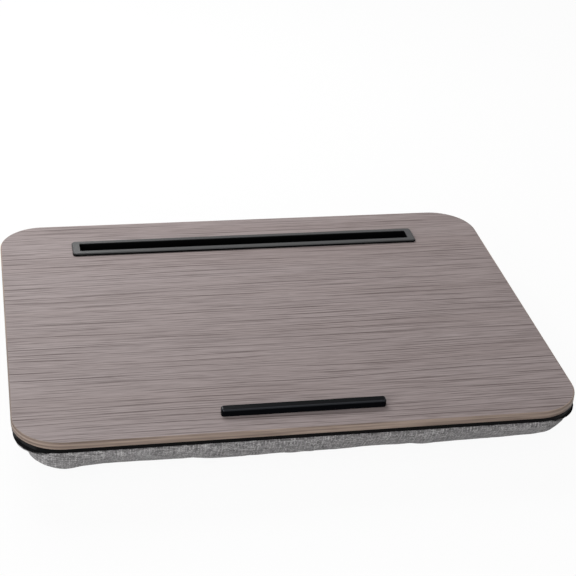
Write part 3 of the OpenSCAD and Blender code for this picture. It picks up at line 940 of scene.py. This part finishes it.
def panelRings():
    # Up the opening's wall, then round the padded edge from top to bottom and back
    low, high = panelLow.z + panel["slack"], panelHigh.z - panel["slack"]
    middle, half = (low + high) / 2, (high - low) / 2
    centreY = (panelHigh.y + panelLow.y) / 2
    arcs, sides = panel["arcSteps"], panel["sideSteps"]
    halfX, halfY = (side + panel["openingGrow"] for side in cushion["pocketHalf"])
    opening = outline(halfX, halfY, cushion["pocketRadius"], arcs, sides, centreY=cushion["pocketY"])
    edge = outline(panelHigh.x - half, panelHigh.y - centreY - half, panel["radius"] - half, arcs, sides,
                   centreY=centreY)
    rings = [[(x, y, z) for x, y, angle in opening] for z in (low, high)]
    for k in range(panel["roundSteps"] + 1):
        turn = math.pi * (0.5 - k / panel["roundSteps"])
        ring = []
        for x, y, angle in edge:
            ripple = noise.noise((x * panel["gatherScale"], y * panel["gatherScale"], 4.0))
            pucker = panel["gather"] * ripple * math.cos(turn)
            out = half * math.cos(turn) + panelReach(angle) + pucker
            ring.append((x + out * math.cos(angle), y + out * math.sin(angle), middle + half * math.sin(turn)))
        rings.append(ring)
    return [*rings, rings[0]]


def makePanel():
    piece = addMesh("blackTopPanel", *loft(panelRings()), blackWoven)
    closeUp(piece)
    cutters = [addMesh("padCutter", *padBox(side), blackWoven) for side in (-1, 1)]
    for cutter in cutters:
        hole = piece.modifiers.new("padHole", "BOOLEAN")
        hole.operation = "DIFFERENCE"
        hole.solver = "EXACT"
        hole.object = cutter
    applyModifiers(piece)
    for cutter in cutters:
        bpy.data.objects.remove(cutter)
    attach(piece, "base")
    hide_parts("cushion_top_panel")


makePanel()
print("top panel made")

# Screws with crossed recesses, one tree for all of them. The cross is in shares of the head.
screws = {
    "crossWidth": 0.20,
    "crossLength": 0.62,
    "crossDepth": 0.35,
    "mostTurn": 1.57,
    "headSides": 40,
    "shankSides": 24,
    "seed": 7,
}
leafScrew = {"head": 0.0038, "shank": 0.0022, "finish": zincSteel}
barScrew = {"head": 0.0056, "shank": 0.0030, "finish": darkSteel}


def screwTree():
    # A countersunk screw under each point of the mesh, turned by chance about its axis
    tree = bpy.data.node_groups.new("crossedScrews", "GeometryNodeTree")
    kinds = {"Points": "Geometry", "Head": "Float", "Shank": "Float", "Length": "Float", "CrossWidth": "Float",
             "CrossLength": "Float", "CrossDepth": "Float", "Seed": "Int", "Finish": "Material"}
    for name, kind in kinds.items():
        tree.interface.new_socket(name, in_out="INPUT", socket_type="NodeSocket" + kind)
    tree.interface.new_socket("Screws", in_out="OUTPUT", socket_type="NodeSocketGeometry")
    graph = Graph(tree)
    start = graph.node("NodeGroupInput")
    given = {socket.name: Wire(graph, socket) for socket in start.socket.node.outputs}
    head, shank, length = given["Head"], given["Shank"], given["Length"]

    def spot(**ways):
        return graph.node("ShaderNodeCombineXYZ", inputs={way.upper(): value for way, value in ways.items()})

    def lifted(shape, height):
        return graph.node("GeometryNodeTransform", inputs={"Geometry": shape, "Translation": spot(z=height)})

    headHeight = (head - shank) * 0.5
    cone = graph.node("GeometryNodeMeshCone", inputs={
        "Vertices": screws["headSides"], "Radius Top": head * 0.5, "Radius Bottom": shank * 0.5,
        "Depth": headHeight})
    rod = graph.node("GeometryNodeMeshCylinder", inputs={
        "Vertices": screws["shankSides"], "Radius": shank * 0.5, "Depth": length - headHeight})
    coneDown = lifted(cone, headHeight * -1.0)
    rodDown = lifted(rod, (length + headHeight) * -0.5)
    long, wide = head * given["CrossLength"], head * given["CrossWidth"]
    deep = headHeight * given["CrossDepth"] * 2.0
    bars = [graph.node("GeometryNodeMeshCube", inputs={"Size": spot(x=a, y=b, z=deep)})
            for a, b in ((long, wide), (wide, long))]
    cut = graph.node("GeometryNodeMeshBoolean", {"operation": "DIFFERENCE", "solver": "EXACT"},
                     {"Mesh 1": coneDown, "Mesh 2": bars})
    joined = graph.node("GeometryNodeJoinGeometry", inputs={"Geometry": [cut, rodDown]})
    # Sockets 2 and 3 are the least and the most of a float
    chance = graph.node("FunctionNodeRandomValue", {"data_type": "FLOAT"},
                        {"Seed": given["Seed"], 2: 0.0, 3: screws["mostTurn"]}, output=1)
    placed = graph.node("GeometryNodeInstanceOnPoints", inputs={
        "Points": given["Points"], "Instance": joined, "Rotation": spot(z=chance)})
    real = graph.node("GeometryNodeRealizeInstances", inputs={"Geometry": placed})
    coated = graph.node("GeometryNodeSetMaterial", inputs={"Geometry": real, "Material": given["Finish"]})
    graph.node("NodeGroupOutput", inputs={0: coated})
    return tree


crossedScrews = screwTree()


def addScrews(name, node, body, kind, headsUp, spots):
    low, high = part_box(node)
    piece = addMesh(name, [(x, y, 0) for x, y in spots], [], kind["finish"])
    modifier = piece.modifiers.new("screws", "NODES")
    modifier.node_group = crossedScrews
    values = {"Head": kind["head"], "Shank": kind["shank"], "Length": high.z - low.z, "Seed": screws["seed"],
              "CrossWidth": screws["crossWidth"], "CrossLength": screws["crossLength"],
              "CrossDepth": screws["crossDepth"], "Finish": kind["finish"]}
    for item in crossedScrews.interface.items_tree:
        if item.name in values:
            modifier[item.identifier] = values[item.name]
    applyModifiers(piece)
    for vertex in piece.data.vertices:
        vertex.co.z = high.z + vertex.co.z if headsUp else low.z - vertex.co.z
    closeUp(piece)
    piece.data.shade_flat()
    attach(piece, body)
    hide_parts(node)


lowScrews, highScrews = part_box("tray_leaf_screws")
leafSpots = []
for node in ("tray_leaf_left", "tray_leaf_right"):
    low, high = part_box(node)
    for share in (-1 / 3, 1 / 3):
        leafSpots.append(((low.x + high.x) / 2 + share * (high.x - low.x), (lowScrews.y + highScrews.y) / 2))
barLow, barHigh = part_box("stop_bar_screws")
barSpots = [(x, (barLow.y + barHigh.y) / 2)
            for x in (barLow.x + barScrew["head"] / 2, barHigh.x - barScrew["head"] / 2)]
addScrews("trayLeafScrews", "tray_leaf_screws", "base", leafScrew, True, leafSpots)
addScrews("lidLeafScrews", "lid_leaf_screws", "lid", leafScrew, False, leafSpots)
addScrews("stopBarScrews", "stop_bar_screws", "lid", barScrew, False, barSpots)
print("screws made")

# Floor, world and lamps. A lamp has its place, its power and its size.
studio = {
    "floor": (0.90, 0.90, 0.90),
    "floorGlow": 0.94,
    "floorReach": 6.0,
    "world": (1.0, 0.99, 0.985),
    "worldStrength": 0.22,
    "aim": (0, 0, 0.03),
    "lamps": {
        "keyLamp": ((-0.28, 0.76, 0.80), 9.6, 0.8),
        "fillLamp": ((-1.12, -1.36, 0.78), 20.0, 1.2),
        "edgeLamp": ((0.22, -0.62, 1.35), 1.2, 0.5),  # its reflection runs along the front edges
    },
}


def seenRays(shade):
    # 1 for what the camera, a reflection or a transmission sees, 0 for light on the desk
    camera, glossy, clear = (shade.node("ShaderNodeLightPath", output=f"Is {kind} Ray")
                             for kind in ("Camera", "Glossy", "Transmission"))
    return camera + glossy + clear


def addFloor():
    shade = shadeFor("paleFloor")
    diffuse = shade.node("ShaderNodeBsdfDiffuse", inputs={"Color": opaque(studio["floor"])})
    glow = shade.node("ShaderNodeEmission", inputs={"Color": (1, 1, 1, 1), "Strength": 1.0})
    both = shade.node("ShaderNodeMixShader",
                      inputs={0: seenRays(shade) * studio["floorGlow"], 1: diffuse, 2: glow})
    shade.node("ShaderNodeOutputMaterial", inputs={"Surface": both})
    reach = studio["floorReach"]
    corners = [(-reach, -reach, 0), (reach, -reach, 0), (reach, reach, 0), (-reach, reach, 0)]
    floor = addMesh("paleFloor", corners, [(0, 1, 2, 3)], shade.owner)


def addWorld():
    shade = Shade(bpy.data.worlds.new("studioWorld"))
    soft = shade.node("ShaderNodeBackground",
                      inputs={"Color": opaque(studio["world"]), "Strength": studio["worldStrength"]})
    white = shade.node("ShaderNodeBackground", inputs={"Color": (1, 1, 1, 1), "Strength": 1.0})
    both = shade.node("ShaderNodeMixShader", inputs={0: seenRays(shade), 1: soft, 2: white})
    shade.node("ShaderNodeOutputWorld", inputs={"Surface": both})
    scene.world = shade.owner


def addLamp(name, place, power, size):
    lamp = bpy.data.lights.new(name, "AREA")
    lamp.shape = "DISK"
    lamp.size = size
    lamp.energy = power
    holder = bpy.data.objects.new(name, lamp)
    holder.location = place
    holder.rotation_mode = "QUATERNION"
    holder.rotation_quaternion = (Vector(studio["aim"]) - Vector(place)).to_track_quat("-Z", "Y")
    scene.collection.objects.link(holder)


# Camera worked out from the board's outline in the photograph
view = {
    "azimuth": -12.28,
    "elevation": 29.09,
    "roll": 3.33,
    "distance": 1.3525,
    "target": (0.02282, 0.03905),
    "lens": 97.53,
    "sensor": 36.0,
    "clip": (0.05, 50.0),
}


def addCamera():
    azimuth, elevation, roll = (math.radians(view[key]) for key in ("azimuth", "elevation", "roll"))
    back = Vector((math.sin(azimuth) * math.cos(elevation), -math.cos(azimuth) * math.cos(elevation),
                   math.sin(elevation)))
    right = (-back).cross(Vector((0, 0, 1))).normalized()
    up = right.cross(-back)
    turnedRight = math.cos(roll) * right + math.sin(roll) * up
    turnedUp = math.cos(roll) * up - math.sin(roll) * right
    target = Vector((*view["target"], boardHigh.z))
    data = bpy.data.cameras.new("photoCamera")
    data.sensor_fit = "HORIZONTAL"
    data.sensor_width = view["sensor"]
    data.lens = view["lens"]
    data.clip_start, data.clip_end = view["clip"]
    camera = bpy.data.objects.new("photoCamera", data)
    axes = Matrix((turnedRight, turnedUp, back)).transposed().to_4x4()
    camera.matrix_world = Matrix.Translation(target + back * view["distance"]) @ axes
    scene.collection.objects.link(camera)
    scene.camera = camera


addFloor()
addWorld()
for name, (place, power, size) in studio["lamps"].items():
    addLamp(name, place, power, size)
addCamera()
scene.view_settings.view_transform = "Standard"
print("stage and camera made")
